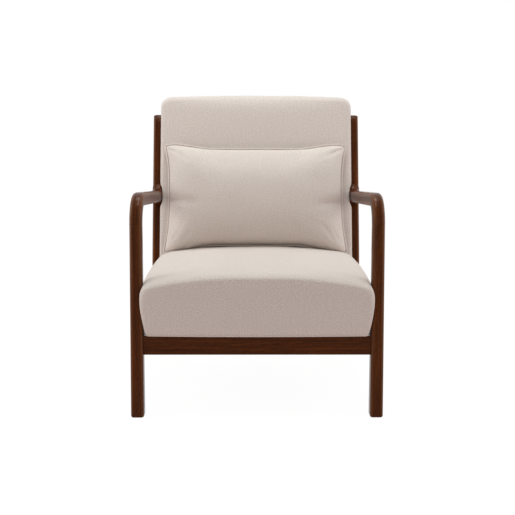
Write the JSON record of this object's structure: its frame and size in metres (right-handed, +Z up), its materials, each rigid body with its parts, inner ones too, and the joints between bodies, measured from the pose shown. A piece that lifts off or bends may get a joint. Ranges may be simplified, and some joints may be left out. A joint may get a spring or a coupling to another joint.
{
  "type": "armchair",
  "caption": "Upholstered lounge armchair with a sculpted solid-wood frame, bent armrests, raked legs, fixed seat and back cushions and a loose welted lumbar pillow.",
  "frame": {"origin": "on the floor, at the middle of the chair's width and depth", "axes": "+Z up, -Y towards the front of the chair, +X to the sitter's left"},
  "size_m": [0.684, 0.74, 0.8746],
  "materials": {
    "stained_wood": "dark walnut stain under satin lacquer",
    "plain_wood": "bare planed softwood and beech",
    "steel": "bright zinc",
    "glide_plastic": "moulded, matt",
    "upholstery": "woven linen-look polyester",
    "foam": "open-cell foam with wadding",
    "felt": "needled felt",
    "black_cloth": "black spun-bonded cloth and elastic webbing",
    "zip_tape": "nylon coil zip on woven tape"
  },
  "bodies": {
    "chair": {"left_front_leg": "stained_wood", "right_front_leg": "stained_wood", "left_armrest": "stained_wood", "right_armrest": "stained_wood", "left_rear_leg": "stained_wood", "right_rear_leg": "stained_wood", "left_side_rail": "stained_wood", "right_side_rail": "stained_wood", "front_rail": "stained_wood", "rear_rail": "stained_wood", "left_cleat": "plain_wood", "right_cleat": "plain_wood", "corner_blocks": "plain_wood", "rail_dowels": "plain_wood", "arm_dowels": "plain_wood", "block_screws": "steel", "cleat_screws": "steel", "foot_glides": "glide_plastic", "seat_frame_ends": "plain_wood", "seat_frame_sides": "plain_wood", "seat_springs": "steel", "spring_clips": "steel", "seat_felt": "felt", "seat_foam": "foam", "seat_cover": "upholstery", "seat_dust_cover": "black_cloth", "seat_screws": "steel", "back_frame_stiles": "plain_wood", "back_frame_rails": "plain_wood", "back_webbing": "black_cloth", "back_foam": "foam", "back_cover": "upholstery", "back_pins": "steel"},
    "pillow": {"pillow_cover": "upholstery", "pillow_welt": "upholstery", "pillow_insert": "foam", "pillow_zipper": "zip_tape"}
  },
  "joints": [
    {"name": "pillow_lift", "type": "slide", "parent": "chair", "child": "pillow", "axis": [0, 0, 1], "range_m": [0, 0.55]}
  ]
}
